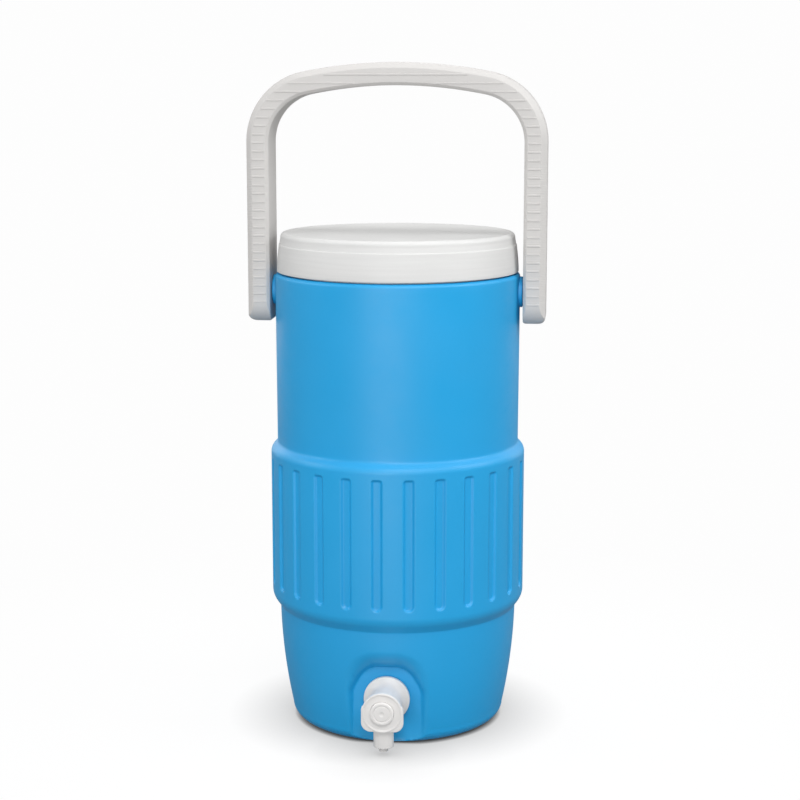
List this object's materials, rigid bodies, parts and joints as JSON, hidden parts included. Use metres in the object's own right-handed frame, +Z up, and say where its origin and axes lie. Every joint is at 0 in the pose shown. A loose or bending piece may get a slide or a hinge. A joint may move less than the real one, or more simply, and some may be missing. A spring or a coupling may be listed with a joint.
{
  "type": "insulated beverage dispenser jug",
  "caption": "Round insulated drink jug with a fluted band, a screw lid, a swinging bail handle and a push-button tap low on the front.",
  "frame": {"origin": "centre of the flat pad under the base, on the jug's axis, on the surface it stands on", "axes": "+Z up along the jug's axis; the tap points along -Y; the handle pivots about X"},
  "size_m": [0.2544, 0.24, 0.5694],
  "materials": {
    "shell_blue": "satin moulded polyethylene, sky blue",
    "lid_grey": "satin moulded polypropylene, pale warm grey, faint mould lines",
    "handle_grey": "satin moulded polypropylene, pale warm grey",
    "tap_white": "semi-gloss moulded polypropylene, off-white",
    "liner_white": "food-grade polypropylene, white",
    "foam": "rigid polyurethane foam, cream, hidden inside",
    "seal_rubber": "food-grade silicone rubber, dark grey",
    "spring_steel": "stainless spring wire"
  },
  "bodies": {
    "jug": {"outer_shell": "shell_blue", "foam_fill_plug": "shell_blue", "insulation_foam": "foam", "inner_liner": "liner_white", "tap_body": "tap_white", "tap_nozzle": "tap_white", "tap_outer_washer": "seal_rubber", "tap_inner_washer": "seal_rubber", "tap_nut": "tap_white", "tap_stem_seal": "seal_rubber", "tap_spring": "spring_steel"},
    "handle": {"handle_bail": "handle_grey", "handle_pin_left": "handle_grey", "handle_pin_right": "handle_grey"},
    "lid_seal": {"lid_gasket": "seal_rubber"},
    "lid": {"lid_shell": "lid_grey", "lid_pan": "liner_white", "lid_foam": "foam"},
    "button": {"tap_button": "tap_white", "tap_stem": "tap_white", "tap_valve_seal": "seal_rubber"}
  },
  "joints": [
    {"name": "handle_swing", "type": "hinge", "parent": "jug", "child": "handle", "pos_m": [0, 0, 0.3763], "axis": [1, 0, 0], "range_deg": [-130, 130]},
    {"name": "lid_lift", "type": "slide", "parent": "jug", "child": "lid_seal", "axis": [0, 0, 1], "range_m": [0, 0.0301]},
    {"name": "lid_turn", "type": "hinge", "parent": "lid_seal", "child": "lid", "pos_m": [0, 0, 0.42], "axis": [0, 0, 1], "range_deg": [0, 450]},
    {"name": "button_press", "type": "slide", "parent": "jug", "child": "button", "axis": [0, 1, 0], "range_m": [0, 0.0045], "stiffness_N_per_m": 1500, "springref_m": -0.002, "deforming": ["tap_spring"]}
  ],
  "couplings": [
    {"joint": "lid_lift", "follows": "lid_turn", "m_per_rad": 0.0038197}
  ]
}
